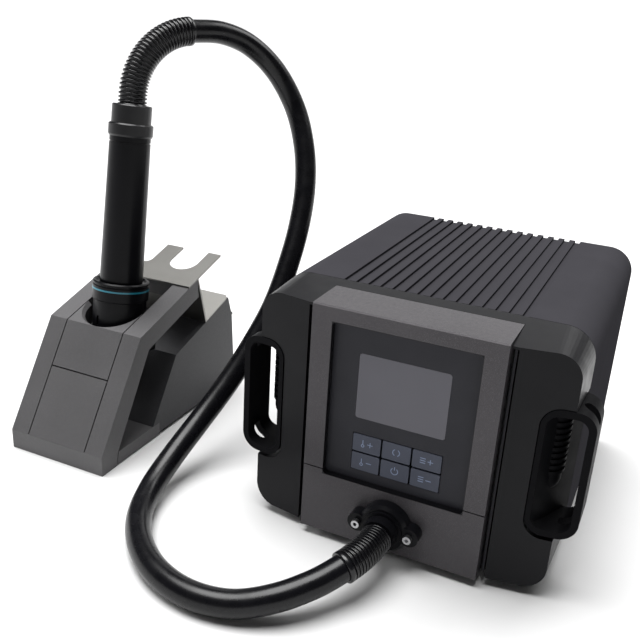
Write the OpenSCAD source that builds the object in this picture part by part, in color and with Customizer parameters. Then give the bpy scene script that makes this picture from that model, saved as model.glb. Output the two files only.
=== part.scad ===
// Hot air rework station: cabinet with a blower, handpiece on a stiff hose, and its weighted holder.
// The cabinet stands on z = 0 with its front panels at y = 0. Lengths are in millimetres.

/* [Cabinet] */
// Width of the cabinet without its handles
case_w = 209.6; // [206:0.2:220]
// Height of the cabinet without its feet
case_h = 164.5; // [162:0.5:175]
// Depth from the front panels to the rear edge of the cover
case_d = 244; // [240:1:270]
// Radius of the long edges of the cabinet
case_r = 19.5; // [17:0.5:22]
// Height that the feet lift the cabinet
foot_h = 6.2; // [5:0.2:10]
// Diameter of a foot
foot_d = 20; // [14:1:26]
// Wall of the cover
cover_wall = 3.2; // [3:0.1:4]
// Number of grooves in the roof
groove_count = 15; // [3:2:17]
// Distance between grooves
groove_pitch = 8.55; // [7:0.05:9]
// Width of a groove
groove_w = 4.2; // [2:0.1:5]
// Depth of a groove
groove_depth = 1.8; // [1:0.1:2]
// Depth of the front moulding, from the panels to the seam
seam_y = 48.1; // [46:0.1:56]
// Thickness of the floor and rear sheets
sheet_t = 2; // [1.5:0.1:2.4]

/* [Front] */
// Width of the grey frame
frame_w = 124; // [120:1:128]
// Height of the lower panel, from its bottom edge to the split
lower_panel_h = 47.4; // [46:0.2:50]
// Thickness of the grey panels
panel_t = 5; // [4:0.2:6]
// Depth of the channel that holds the grey panels
channel_d = 14; // [13:0.5:16]
// Gap between the grey frame and the side blocks
side_gap = 4.5; // [3:0.1:6]
// How far the roof plate of the frame reaches back
roof_plate_d = 36.3; // [30:0.1:40]
// Thickness of the roof plate
roof_plate_t = 2.5; // [2:0.1:3]
// Set-back of a side block at the gap
block_y = 5.4; // [4:0.1:7]
// Angle that the side blocks are swept back
block_sweep = 8.66; // [4:0.1:10]
// Window width
window_w = 96; // [92:1:100]
// Window height
window_h = 108.6; // [106:0.2:112]
// Distance from the roof to the window
window_drop = 11.4; // [10:0.1:14]
// Visible display width
display_w = 60; // [56:0.5:62]
// Visible display height
display_h = 45; // [42:0.5:46]
// Distance from the top of the window to the display
display_drop = 18.6; // [14:0.1:20]
// Width of one key
key_w = 19.1; // [17:0.1:20]
// Height of one key
key_h = 12.4; // [11:0.1:13]
// Gap between keys
key_gap = 1.3; // [1:0.1:2]
// Distance from the bottom of the window to the keys
key_rise = 7.6; // [5:0.1:10]
// Travel of a key
key_travel = 0.5; // [0.3:0.1:0.6]

/* [Handles] */
// How far a handle stands out from the side of the cabinet
handle_out = 11.2; // [9:0.1:14]
// Width of a handle, from its outside to its inner edge
handle_w = 31.6; // [29:0.1:33]
// Height of a handle
handle_h = 86.5; // [80:0.5:100]
// Bottom of a handle above the table
handle_z = 46.5; // [40:0.5:52]
// Depth of a handle behind the swept face
handle_d = 29; // [26:0.5:32]
// Wall of a handle
handle_wall = 4.6; // [3.5:0.1:5]
// How far a handle stands proud of the side block
handle_proud = 0.7; // [0.3:0.1:3]
// Number of grip ribs
rib_count = 10; // [4:1:12]
// Distance between grip ribs
rib_pitch = 4.2; // [3.5:0.1:5]

/* [Hose] */
// Diameter of the hose
hose_d = 17.5; // [15:0.5:18]
// Height of the hose outlet above the table
outlet_z = 28; // [27:0.5:31]
// Diameter of the outlet flange
flange_d = 34; // [32:0.5:36]
// Thickness of the outlet flange
flange_t = 9; // [6:0.5:10]
// Distance between the flange screws
flange_span = 35.6; // [34:0.2:40]
// Length of the flange from the panel to the end of its collar
flange_len = 18; // [16:0.5:24]
// Bore of the air path
air_bore = 16; // [12:0.5:16]
// Outer diameter of the strain relief at the flange
flange_relief_d = 20.8; // [20.2:0.2:22]
// Outer diameter of the strain relief at the handpiece
gun_relief_d = 21.8; // [20.2:0.2:23]

/* [Blower] */
// Radius of the impeller
impeller_r = 32; // [28:1:33]
// Number of impeller blades
blade_count = 12; // [7:1:16]
// Diameter of the motor shaft
shaft_d = 5; // [4:0.5:6]
// Radius of the blower spiral at its start
spiral_start_r = 36; // [36:0.5:38]
// Radius of the blower spiral at its end
spiral_end_r = 48; // [47:0.5:50]

/* [Handpiece] */
// Diameter of the grip tube at its lower end
tube_bottom_d = 34; // [32:0.2:36]
// Diameter of the grip tube at its upper end
tube_top_d = 31.4; // [30:0.2:32]
// Length of the grip tube
tube_len = 113; // [90:1:130]
// Diameter of the lower collar
collar_d = 44.6; // [43:0.2:46]
// Diameter of the lower barrel
barrel_d = 42; // [40:0.2:43]
// Length of the lower barrel
barrel_len = 37; // [34:0.5:38]
// Length of the nozzle below the barrel
nozzle_len = 36; // [30:1:38]
// Diameter of the nozzle mouth
nozzle_d = 12; // [6:0.5:16]
// Lean of the handpiece in its holder
gun_tilt = 8.53; // [8:0.1:9]

/* [Holder] */
// Distance from the middle of the cabinet to the middle of the holder
holder_x = 264.5; // [260:0.5:290]
// Width of the holder
holder_w = 87; // [85:0.5:90]
// Thickness of the two cheeks and of the front band
band_t = 16; // [14:0.5:16.5]
// Height of the lip at the front edge
lip_h = 15.8; // [14:0.2:18]
// Thickness of the base plate
base_t = 11.4; // [10:0.2:12]
// Width of the round notch for the handpiece
notch_d = 47; // [46:0.5:50]
// Thickness of the stainless bracket
bracket_t = 1.5; // [1:0.1:2]
// Width of the slot in the fork
fork_slot_w = 26; // [24:0.5:27]
// How far the fork reaches behind the holder
fork_len = 38; // [34:1:42]

/* [Hidden] */
$fn = 64;

eps = 0.01;
fit = 0.3;
face_gap = 0.1;

case_z = foot_h;
case_top = case_z + case_h;
half_w = case_w / 2;
cover_inner_r = case_r - cover_wall;
front_flare = 2.2;
front_drop = 3.6;
front_r = 15;
seam_gap = 0.5;
chassis_z = case_z + cover_wall;
chassis_top = chassis_z + sheet_t;
chassis_w = 2 * (half_w - case_r);
cover_lip_w = chassis_w - 14.6;
chassis_front = seam_y + 4.9;
rear_inset = 4;
rear_y = case_d - rear_inset;
vent_count = 12;
vent_pitch = 8;
vent_w = 3.2;
vent_h = 28;

half_frame = frame_w / 2;
channel_half = half_frame + side_gap;
frame_top = case_top - 1;
split_gap = 0.8;
split_z = case_z + lower_panel_h;
window_top = frame_top - window_drop + 1;
window_z = window_top - window_h;
key_panel_t = 2;
board_t = 1.6;
board_y = panel_t + key_panel_t + 4;
display_z = window_top - display_drop - display_h / 2;
key_block_w = 3 * key_w + 2 * key_gap;
key_block_h = 2 * key_h + key_gap;
key_z = window_z + key_rise + key_block_h / 2;
key_proud = 0.4;
key_cap_t = 2;
key_stem_r = 2;
switch_tip_y = board_y - 2.1;

handle_x = half_w + handle_out;
handle_inner_x = handle_x - handle_w;
handle_top = handle_z + handle_h;
handle_back = block_y + (handle_x - channel_half) * tan(block_sweep) + handle_d;
pocket_end_x = half_w - 3.2;
pocket_end_y = seam_y - 1.1;
pocket_start_y = block_y + (handle_inner_x - channel_half) * tan(block_sweep);
pocket_slope = (pocket_end_x - handle_inner_x) / (pocket_end_y - pocket_start_y);
handle_r = 12;
moat = 0.7;
moat_top = 0.4;
moat_foot = 2.9;
grip_wall = 3.2;
grip_r = 10.5;
grip_sink = 8;
grip_y = 27;
grip_turn = atan(pocket_slope);
grip_centre = [grip_x(grip_y) - grip_sink * cos(grip_turn), grip_y + grip_sink * sin(grip_turn)];
grip_foot_z = handle_z + 32;
slot_y = 24.5;
slot_w = 8.5;
slot_l = 15;
boss_r = 5;
boss_y = 24;

flange_ring_r = flange_d / 2;
flange_lug_r = 6.5;
flange_collar_r = air_bore / 2 + 3.2;
flange_screw_r = 1.5;
relief_cuff_l = 3.4;
flange_bend_r = 63.6;
flange_bend = 32.3;
flange_bend_roll = 204;
gun_bend_start = 8;
gun_bend_r = 52.8;
gun_bend = 80.4;
gun_bend_roll = 60.5;

duct_r = air_bore / 2 + 2;
duct_end = 95;
blower_x = spiral_end_r - duct_r;
blower_y = 150;
blower_wall = 2.5;
blower_half_h = outlet_z - chassis_top;
blower_top = outlet_z + blower_half_h;
blower_eye_r = 16;
impeller_z = chassis_top + blower_wall + 3;
impeller_h = 22;
hub_r = 8;
running = 0.05;
motor_r = 29;
motor_h = 37;
shaft_top = blower_top + motor_h - 3;

board_z = chassis_top + 6.6;
board_w = 62;
board_x = -(chassis_w / 2 - board_w / 2 - 1.3);
board_l = rear_y - seam_y - 36.9;
board_mid_y = rear_y - 25 - board_l / 2;

inlet_x = -62;
inlet_z = 46;
inlet_w = 28;
inlet_h = 36;
socket_z = 6;
drawer_z = -12.5;
drawer_w = 22;
drawer_h = 8;
drawer_l = 21;
switch_x = -20;
switch_z = 46;
switch_w = 15;
switch_h = 21;
rocker_half_w = 5.9;
rocker_rest = -10;
rocker_y = rear_y - 4;
jack_x = 10;
jack_z = 40;
jack_bore_r = 2.05;

gun_z = 113.3;
gun_y = 70.3;
collar_bottom = -5;
collar_top = 10.3;
barrel_end = collar_bottom - barrel_len;
tube_end = collar_top + tube_len;
gun_bore = 11;
top_collar_l = 10;
gun_cap_l = 14;
gun_cap_r = 15.1;
cap_recess = 3;
relief_base = tube_end + top_collar_l + gun_cap_l;
core_r = 11.9;
heater_len = tube_len - 17;
cup_wall = 2.6;
cup_floor = 2.5;
cup_lip = 12;
nozzle_neck_r = 11.6;

band_front = -14;
band_crease = [37.2, 95];
band_rear = [116.3, 118.8];
front_angle = atan2(band_crease[1] - lip_h, band_crease[0] - band_front);
roof_angle = atan2(band_rear[1] - band_crease[1], band_rear[0] - band_crease[0]);
panel_split_z = 62.7;
horn_y = 62.6;
seam_w = 0.95;
trough_end_y = 110;
block_front = [50.5, base_t];
block_shoulder = [84.2, 62.8];
block_step = [129.1, 76.3];
block_rear = [166.2, 87.8];
block_lip_y = 173;
block_lip_z = 69.2;
block_lift = 3;
fork_right_w = 12;
fork_left_w = 16;
strip_depth = 13;
shelf_corner_r = 6;
rebate_depth = 5;
rebate_h = 3;
pad_t = 1;

// Where the middle of the whole object lies, measured without the hose and its reliefs.
origin_x = (handle_x - holder_x - holder_w / 2) / 2;
origin_y = (case_d - flange_len) / 2;

// The end of a bend of radius r that starts upwards at height z0, and its direction there.
function bend_end(z0, r, angle) = [r * (1 - cos(angle)), 0, z0 + r * sin(angle)];
function bend_way(angle) = [sin(angle), 0, cos(angle)];
function turn_z(v, a) = [v[0] * cos(a) - v[1] * sin(a), v[0] * sin(a) + v[1] * cos(a), v[2]];
function turn_x(v, a) = [v[0], v[1] * cos(a) - v[2] * sin(a), v[1] * sin(a) + v[2] * cos(a)];
function from_gun(v) = turn_x(turn_z(v, gun_bend_roll), -gun_tilt);
function from_flange(v) = turn_x(turn_z(v, flange_bend_roll), 90);

gun_hose_end = [-holder_x, gun_y, gun_z]
    + from_gun(bend_end(relief_base + gun_bend_start, gun_bend_r, gun_bend));
gun_hose_way = from_gun(bend_way(gun_bend));
flange_hose_end = [0, -flange_len, outlet_z] + from_flange(bend_end(0, flange_bend_r, flange_bend));
flange_hose_way = from_flange(bend_way(flange_bend));

// Middle line of the hose, from the relief of the handpiece to the relief of the flange.
hose_points = [
    gun_hose_end + fit * gun_hose_way,
    gun_hose_end + 6 * gun_hose_way,
    [-229, 163, 312],
    [-215.5, 183, 303.5],
    [-199, 198, 284.5],
    [-181, 202.5, 255.5],
    [-166, 193, 226],
    [-156, 178, 197],
    [-151, 160, 168],
    [-149, 139, 140],
    [-150, 117, 111],
    [-156, 92, 82],
    [-163, 66, 57],
    [-170, 38, 36],
    [-173, 8, 21],
    [-170, -23, 12],
    [-159, -52, 9],
    [-139, -77, 9],
    [-114, -94, 9],
    [-86, -101, 9],
    [-59, -97.5, 10.5],
    [-36.5, -86, 15.5],
    [-19.5, -68.5, 20],
    flange_hose_end + 6 * flange_hose_way,
    flange_hose_end + fit * flange_hose_way
];
hose_sides = 12;

module at_origin() {
    translate([-origin_x, -origin_y, 0]) children();
}

module rounded_rect(w, h, r) {
    square([w - 2 * r, h], center = true);
    square([w, h - 2 * r], center = true);
    for (x = [-1, 1], z = [-1, 1])
        translate([x * (w / 2 - r), z * (h / 2 - r)]) circle(r);
}

// A plane figure drawn in x and z, pulled back from y = start to y = end.
module pull(start, end) {
    translate([0, end, 0]) rotate([90, 0, 0]) linear_extrude(end - start) children();
}

// The outline of the cabinet, moved in by a wall.
module case_outline(inset = 0) {
    translate([0, case_z + case_h / 2])
        rounded_rect(case_w - 2 * inset, case_h - 2 * inset, case_r - inset);
}

module box(x0, x1, y0, y1, z0, z1) {
    translate([x0, y0, z0]) cube([x1 - x0, y1 - y0, z1 - z0]);
}

module screw(d, l, head_d, head_h, socket = 0.5) {
    translate([0, 0, -l]) cylinder(d = d, h = l + eps, $fn = 24);
    difference() {
        cylinder(d = head_d, h = head_h, $fn = 32);
        translate([0, 0, head_h * 0.4])
            cylinder(d = head_d * socket, h = head_h, $fn = 6);
    }
}

module mirror_pair() {
    children();
    mirror([1, 0, 0]) children();
}

module top_cover() color("#2b2b2d") at_origin() {
    difference() {
        pull(seam_y, case_d) difference() {
            case_outline();
            case_outline(cover_wall);
            translate([0, case_z]) square([cover_lip_w, 3 * cover_wall], center = true);
        }
        for (i = [0 : groove_count - 1])
            translate([(i - (groove_count - 1) / 2) * groove_pitch, 0, 0])
                box(-groove_w / 2, groove_w / 2, seam_y - 1, case_d + 1,
                    case_top - groove_depth, case_top + 1);
        for (x = [-1, 1], y = cover_screw_rows())
            translate([x * cover_screw_x(), y, case_z - 1]) cylinder(r = 1.7, h = cover_wall + 2, $fn = 24);
    }
    for (x = [-1, 1], z = [chassis_top + 12, case_top - cover_wall - 14])
        difference() {
            box(min(x * (half_w - 10.6), x * (half_w - cover_wall + eps)),
                max(x * (half_w - 10.6), x * (half_w - cover_wall + eps)),
                rear_y - sheet_t - 12, rear_y - sheet_t, z - 4, z + 4);
            translate([x * (half_w - 7), rear_y, z]) rotate([90, 0, 0]) cylinder(r = 1.3, h = 15, $fn = 24);
        }
}

function cover_screw_rows() = [seam_y + 22, (seam_y + rear_y) / 2, rear_y - 22];
function cover_screw_x() = (cover_lip_w / 2 + chassis_w / 2) / 2;

module base_chassis() color("#8c8f92") at_origin() {
    difference() {
        union() {
            box(-chassis_w / 2, chassis_w / 2, chassis_front, rear_y - sheet_t, chassis_z, chassis_top);
            box(-chassis_w / 2, chassis_w / 2, chassis_front, chassis_front + sheet_t, chassis_top - eps,
                chassis_top + 6);
        }
        for (x = [-1, 1], y = cover_screw_rows())
            translate([x * cover_screw_x(), y, chassis_z - 1]) cylinder(r = 1.7, h = sheet_t + 2, $fn = 24);
        for (ring = [6, 11, 15], a = [0 : 360 / (ring * 1.0) : 359])
            translate([blower_x + ring * cos(a), blower_y + ring * sin(a), chassis_z - 1])
                cylinder(r = 1.5, h = sheet_t + 2, $fn = 12);
        for (x = foot_places_x(), y = foot_places_y())
            translate([x, y, chassis_z - 1]) cylinder(r = 2, h = sheet_t + 2, $fn = 24);
    }
    for (x = [-1, 1], y = [-1, 1])
        translate([board_x + x * (board_w / 2 - 5), board_mid_y + y * (board_l / 2 - 6), chassis_top - eps])
            cylinder(r = 3, h = board_z - chassis_top + eps, $fn = 24);
}

function foot_places_x() = [-(cover_lip_w / 2 - foot_d / 2 - 2), cover_lip_w / 2 - foot_d / 2 - 2];
function foot_places_y() = [seam_y + 25, rear_y - 30];

module feet() color("#1a1a1a") at_origin()
    for (x = foot_places_x(), y = foot_places_y())
        translate([x, y, 0]) {
            cylinder(d1 = foot_d - 3, d2 = foot_d, h = foot_h, $fn = 48);
            translate([0, 0, foot_h - eps]) cylinder(d = foot_d, h = cover_wall + eps);
            translate([0, 0, chassis_z - eps]) cylinder(r = 1.9, h = sheet_t, $fn = 24);
        }

module cover_screws() color("#9a9a9c") at_origin()
    for (x = [-1, 1], y = cover_screw_rows())
        translate([x * cover_screw_x(), y, case_z]) rotate([180, 0, 0])
            screw(3, cover_wall + sheet_t - 0.2, 5.6, 1.9);

module rear_panel() color("#242426") at_origin() difference() {
    intersection() {
        pull(rear_y - sheet_t, rear_y) case_outline(cover_wall + fit);
        box(-half_w, half_w, 0, case_d, chassis_z + 0.1, case_top);
    }
    for (i = [0 : vent_count - 1], z = [92, 128])
        box(5 + (i - vent_count / 2) * vent_pitch, 5 + (i - vent_count / 2) * vent_pitch + vent_w,
            rear_y - 2 * sheet_t, rear_y + 1, z - vent_h / 2, z + vent_h / 2);
    translate([inlet_x, 0, inlet_z])
        box(-inlet_w / 2 - fit, inlet_w / 2 + fit, rear_y - 5, rear_y + 1,
            -inlet_h / 2 - fit, inlet_h / 2 + fit);
    translate([switch_x, 0, switch_z])
        box(-switch_w / 2 + 1, switch_w / 2 - 1, rear_y - 5, rear_y + 1,
            -switch_h / 2 + 0.6, switch_h / 2 - 0.6);
    translate([jack_x, rear_y + 1, jack_z]) rotate([90, 0, 0]) cylinder(r = 4.2, h = 6);
    for (x = [-1, 1], z = [chassis_top + 12, case_top - cover_wall - 14])
        translate([x * (half_w - 7), rear_y + 1, z]) rotate([90, 0, 0]) cylinder(r = 1.7, h = 6, $fn = 24);
    for (x = [-1, 1])
        translate([inlet_x + x * 20, rear_y + 1, inlet_z]) rotate([90, 0, 0])
            cylinder(r = 1.7, h = 6, $fn = 24);
}

module rear_screws() color("#b5b5b7") at_origin() {
    for (x = [-1, 1], z = [chassis_top + 12, case_top - cover_wall - 14])
        translate([x * (half_w - 7), rear_y, z]) rotate([-90, 0, 0]) screw(2.5, 12, 5.6, 2);
    for (x = [-1, 1])
        translate([inlet_x + x * 20, rear_y + 3, inlet_z]) rotate([-90, 0, 0]) screw(2.9, 8, 5.6, 0.9);
}

// The front moulding before its pockets: a rounded block that narrows towards the front.
module bezel_body() {
    hull() {
        translate([0, block_y + 0.1, case_z + (case_h - front_drop) / 2]) rotate([90, 0, 0])
            linear_extrude(0.1)
                rounded_rect(case_w - 2 * front_flare, case_h - front_drop, front_r, $fn = 48);
        translate([0, seam_y - seam_gap, case_z + case_h / 2]) rotate([90, 0, 0])
            linear_extrude(0.1) rounded_rect(case_w, case_h, case_r, $fn = 48);
    }
}

// Everything in front of the swept face of the right side block, moved forward by proud.
module sweep_cut(proud = 0) {
    reach = 80;
    translate([0, -proud, -1]) linear_extrude(case_top + 20) polygon([
        [channel_half - 4, block_y - 4 * tan(block_sweep)],
        [channel_half + reach, block_y + reach * tan(block_sweep)],
        [channel_half + reach, -60],
        [channel_half - 4, -60]
    ]);
}

// Plan of the right handle pocket, to the right of its slanted wall.
module pocket_plan(shift = 0) {
    polygon([
        [handle_inner_x + shift - 30 * pocket_slope, pocket_start_y - 30],
        [handle_inner_x + shift + pocket_slope * (pocket_end_y - pocket_start_y), pocket_end_y],
        [pocket_end_x + shift + 2 * pocket_slope, pocket_end_y + 2],
        [handle_x + 30, pocket_end_y + 2],
        [handle_x + 30, pocket_start_y - 30]
    ]);
}

module handle_outline() {
    translate([(handle_inner_x + handle_x) / 2, handle_z + handle_h / 2])
        rounded_rect(handle_w, handle_h, handle_r);
}

// The outline of the pocket, with most of its play under the handle.
module pocket_outline() {
    translate([(handle_inner_x + handle_x) / 2, handle_z + (handle_h + moat_top - moat_foot) / 2])
        rounded_rect(handle_w + 2 * moat, handle_h + moat_top + moat_foot, handle_r + moat);
}

module handle_opening() {
    translate([(handle_inner_x + grip_wall + handle_x - handle_wall) / 2, handle_z + handle_h / 2])
        rounded_rect(handle_w - handle_wall - grip_wall, handle_h - 2 * handle_wall, handle_r - handle_wall);
}

module front_bezel() color("#1f1f21") at_origin() {
    difference() {
        bezel_body();
        mirror_pair() sweep_cut();
        box(-channel_half, channel_half, -1, channel_d, case_z - 1, frame_top - front_drop - 0.8);
        box(-half_frame - fit, half_frame + fit, -1, channel_d, case_z - 1, case_top + 1);
        box(-half_frame - fit, half_frame + fit, -1, roof_plate_d + fit,
            frame_top - roof_plate_t, case_top + 1);
        box(-half_frame, half_frame, channel_d + 3, seam_y + 1, case_z + 3, frame_top - roof_plate_t - 4);
        box(-46, 46, channel_d - 1, channel_d + 4, split_z + 6, window_top - 6);
        translate([0, channel_d + 4, outlet_z]) rotate([90, 0, 0]) cylinder(r = duct_r + 0.5, h = 6);
        mirror_pair() handle_pocket();
    }
    difference() {
        pull(seam_y - seam_gap - 1, seam_y + 4) difference() {
            case_outline(cover_wall + fit);
            case_outline(cover_wall + fit + 2.2);
        }
        box(-half_w, half_w, seam_y - seam_gap, seam_y + 5, case_z - 1, chassis_top + 8);
    }
}

module handle_pocket() {
    intersection() {
        pull(-10, seam_y + 10) pocket_outline();
        translate([0, 0, handle_z - 5]) linear_extrude(handle_h + 10) pocket_plan(-moat);
    }
    for (z = handle_boss_rows()) {
        translate([handle_inner_x - 4, boss_y, z]) rotate([0, 90, 0]) cylinder(r = boss_r + fit, h = 20);
        translate([half_frame - 1, boss_y, z]) rotate([0, 90, 0])
            cylinder(r = 2.25, h = handle_inner_x - half_frame + 8, $fn = 32);
    }
}

function handle_boss_rows() = [handle_z + 16, handle_top - 16];
function grip_x(y) = handle_inner_x + grip_wall + pocket_slope * (y - pocket_start_y);

// The handle's loop, open at the back, with the slanted wall that lies against the pocket.
module handle_loop() {
    intersection() {
        union() {
            pull(-10, handle_back) difference() {
                handle_outline();
                handle_opening();
            }
            intersection() {
                pull(-10, pocket_end_y) handle_outline();
                linear_extrude(handle_top + 5) polygon([
                    [grip_x(-10) - 20, -10],
                    [grip_x(-10), -10],
                    [grip_x(pocket_end_y), pocket_end_y],
                    [grip_x(pocket_end_y) - 20, pocket_end_y]
                ]);
            }
        }
        linear_extrude(handle_top + 5) pocket_plan();
    }
}

// The bulge that the fingers hold: part of a ribbed column that stands in the slanted wall.
module grip_bulge() {
    top = handle_top - handle_wall + 1 - grip_foot_z;
    intersection() {
        translate([grip_centre[0], grip_centre[1], grip_foot_z]) rotate_extrude() {
            intersection() {
                circle(grip_r);
                translate([0, -grip_r]) square(grip_r);
            }
            square([grip_r, top]);
            for (i = [0 : rib_count - 1])
                translate([0, 5 + i * rib_pitch]) square([grip_r + 1.2, rib_pitch * 0.5]);
        }
        translate([0, 0, handle_z + 1]) linear_extrude(handle_h) polygon([
            [handle_inner_x + 2, 0],
            [handle_x, 0],
            [handle_x, pocket_end_y],
            [grip_x(pocket_end_y) - 2, pocket_end_y - 0.2],
            [grip_x(boss_y) - 2, boss_y],
            [handle_inner_x + 2, pocket_start_y + 2]
        ]);
    }
}

// A slot with round ends through the upper outer corner of a handle.
module corner_slot()
    translate([handle_x - handle_r, slot_y, handle_top - handle_r]) rotate([0, -45, 0])
        translate([handle_r - handle_wall - 3, 0, 0]) rotate([90, 0, 90]) linear_extrude(handle_wall + 6)
            rounded_rect(slot_w, slot_l, slot_w / 2 - 0.1);

module handle_right_body() difference() {
    union() {
        handle_loop();
        grip_bulge();
        for (z = handle_boss_rows())
            translate([handle_inner_x - 3.5, boss_y, z]) rotate([0, 90, 0])
                cylinder(r = boss_r, h = grip_x(boss_y) - handle_inner_x + 1);
    }
    sweep_cut(handle_proud);
    corner_slot();
    translate([0, 0, handle_z + handle_top]) mirror([0, 0, 1]) corner_slot();
    for (z = handle_boss_rows())
        translate([handle_inner_x - 4, boss_y, z]) rotate([0, 90, 0]) cylinder(r = 2.05, h = 8, $fn = 32);
}

module handle_right() color("#1c1c1e") at_origin() handle_right_body();
module handle_left() color("#1c1c1e") at_origin() mirror([1, 0, 0]) handle_right_body();

module handle_screws() color("#8a8a8c") at_origin() mirror_pair()
    for (z = handle_boss_rows())
        translate([half_frame, boss_y, z]) rotate([0, -90, 0])
            screw(4, handle_inner_x - half_frame + 2, 7, 4);

module display_frame() color("#6e6f72") at_origin() difference() {
    union() {
        box(-half_frame, half_frame, 0, panel_t, split_z + split_gap, frame_top);
        mirror_pair() box(half_frame - 2.5, half_frame, 0, channel_d, split_z + split_gap, frame_top - eps);
        box(-half_frame, half_frame, 0, roof_plate_d, frame_top - roof_plate_t, frame_top);
    }
    window_cut();
    translate([0, 0, frame_top]) rotate([45, 0, 0]) cube([frame_w + 2, 1.4, 1.4], center = true);
}

module window_cut() {
    pull(-1, panel_t + 1)
        translate([0, window_z + window_h / 2]) rounded_rect(window_w, window_h, 2.5);
}

module lower_panel() color("#6a6b6e") at_origin() difference() {
    union() {
        box(-half_frame, half_frame, 0, panel_t, case_z, split_z);
        mirror_pair() box(half_frame - 2.5, half_frame, 0, channel_d, case_z, split_z);
    }
    window_cut();
    translate([0, panel_t + 1, outlet_z]) rotate([90, 0, 0]) cylinder(d = air_bore, h = panel_t + 2);
    for (x = [-1, 1])
        translate([x * flange_span / 2, panel_t + 1, outlet_z]) rotate([90, 0, 0])
            cylinder(r = flange_screw_r + 0.02, h = panel_t + 2, $fn = 32);
}

module trim_body()
    box(half_frame + side_gap * 0.34, half_frame + side_gap * 0.66, channel_d - 5, channel_d,
        case_z + 2, frame_top - front_drop - 1.5);

module trim_right() color("#4a4a4d") at_origin() trim_body();
module trim_left() color("#4a4a4d") at_origin() mirror([1, 0, 0]) trim_body();

module key_panel() color("#3c3d40") at_origin() difference() {
    union() {
        box(-window_w / 2 - 5, window_w / 2 + 5, panel_t, panel_t + key_panel_t,
            window_z - 3, window_top + 3);
        for (x = [-1, 1], z = [window_z + 3, window_top - 6])
            translate([x * (window_w / 2 - 2), board_y, z]) rotate([90, 0, 0])
                cylinder(r = 3, h = board_y - panel_t - key_panel_t + eps, $fn = 32);
    }
    pull(0, board_y) translate([0, display_z]) rounded_rect(display_w + 0.4, display_h + 0.4, 2.2);
    box(-key_block_w / 2 - 0.5, key_block_w / 2 + 0.5, 0, board_y,
        key_z - key_block_h / 2 - 0.5, key_z + key_block_h / 2 + 0.5);
}

module display_window() color([0.55, 0.56, 0.6]) at_origin()
    pull(panel_t + 0.1, panel_t + key_panel_t - 0.1)
        translate([0, display_z]) rounded_rect(display_w, display_h, 2);

module display_module() color("#2f4a3a") at_origin() {
    box(-display_w / 2 - 5, display_w / 2 + 5, panel_t + key_panel_t, board_y,
        display_z - display_h / 2 - 4, display_z + display_h / 2 + 4);
}

module control_board() color("#24603a") at_origin() {
    box(-window_w / 2 - 3, window_w / 2 + 3, board_y, board_y + board_t, window_z - 2, window_top - 2);
    for (c = [-1 : 1], r = [-0.5, 0.5])
        translate([c * (key_w + key_gap), board_y + eps, key_z + r * (key_h + key_gap)]) rotate([90, 0, 0]) {
            translate([0, 0, 0.9]) cube([6, 6, 1.8], center = true);
            cylinder(r = 1.6, h = board_y - switch_tip_y, $fn = 32);
        }
}

// One key: column -1, 0 or 1 and row -0.5 or 0.5 of the block.
module key(column, row) color("#4d525c") at_origin()
    translate([column * (key_w + key_gap), 0, key_z + row * (key_h + key_gap)]) {
        pull(panel_t - key_proud, panel_t - key_proud + key_cap_t) rounded_rect(key_w, key_h, 0.8);
        rotate([90, 0, 0]) translate([0, 0, -(switch_tip_y - key_travel - face_gap)])
            cylinder(r = key_stem_r, h = switch_tip_y - key_travel - face_gap - panel_t, $fn = 32);
    }

module key_temp_up() key(-1, 0.5);
module key_temp_down() key(-1, -0.5);
module key_channel() key(0, 0.5);
module key_power() key(0, -0.5);
module key_flow_up() key(1, 0.5);
module key_flow_down() key(1, -0.5);

module hose_flange() color("#161617") at_origin() difference() {
    translate([0, 0, outlet_z]) rotate([90, 0, 0]) {
        cylinder(r = flange_ring_r, h = flange_t - 2);
        translate([0, 0, flange_t - 2 - eps]) cylinder(r1 = flange_ring_r, r2 = flange_ring_r - 2, h = 2);
        cylinder(r = flange_collar_r + 2.2, h = flange_t + 1.4);
        cylinder(r = flange_collar_r, h = flange_len);
        for (x = [-1, 1])
            translate([x * flange_span / 2, 0, 0]) cylinder(r = flange_lug_r, h = flange_t);
        translate([-flange_span / 2, -flange_lug_r, 0])
            cube([flange_span, 2 * flange_lug_r, flange_t - 1]);
    }
    translate([0, 1, outlet_z]) rotate([90, 0, 0]) cylinder(d = air_bore, h = flange_len - 5);
    for (x = [-1, 1])
        translate([x * flange_span / 2, 1, outlet_z]) rotate([90, 0, 0])
            cylinder(r = flange_screw_r + 0.1, h = flange_t + 2, $fn = 32);
}

module flange_screws() color("#d8d8da") at_origin()
    for (x = [-1, 1])
        translate([x * flange_span / 2, -flange_t - face_gap, outlet_z]) rotate([90, 0, 0])
            screw(2 * flange_screw_r, flange_t + panel_t, 5.5, 3);

// Moves its children along a bend of radius r that starts upwards and leans towards +x.
module along_bend(r, angle) {
    translate([r, 0, 0]) rotate([0, angle, 0]) translate([-r, 0, 0]) children();
}

// A ribbed strain relief that starts at the origin going up and bends towards +x.
module relief(bend_r, bend, rib_r, pitch, start = 1) {
    arc = bend_r * bend * PI / 180;
    rib_w = pitch * 0.58;
    ribs = floor((arc - relief_cuff_l - start) / pitch);
    translate([bend_r, 0, 0]) rotate([90, 0, 0]) rotate([0, 0, 180 - bend])
        rotate_extrude(angle = bend) translate([bend_r, 0]) circle(rib_r - 1.3, $fn = 48);
    for (i = [0 : ribs - 1])
        along_bend(bend_r, (start + i * pitch) * bend / arc) cylinder(r = rib_r, h = rib_w, $fn = 48);
    along_bend(bend_r, bend) translate([0, 0, -relief_cuff_l])
        cylinder(r = rib_r, h = relief_cuff_l, $fn = 48);
}

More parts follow.
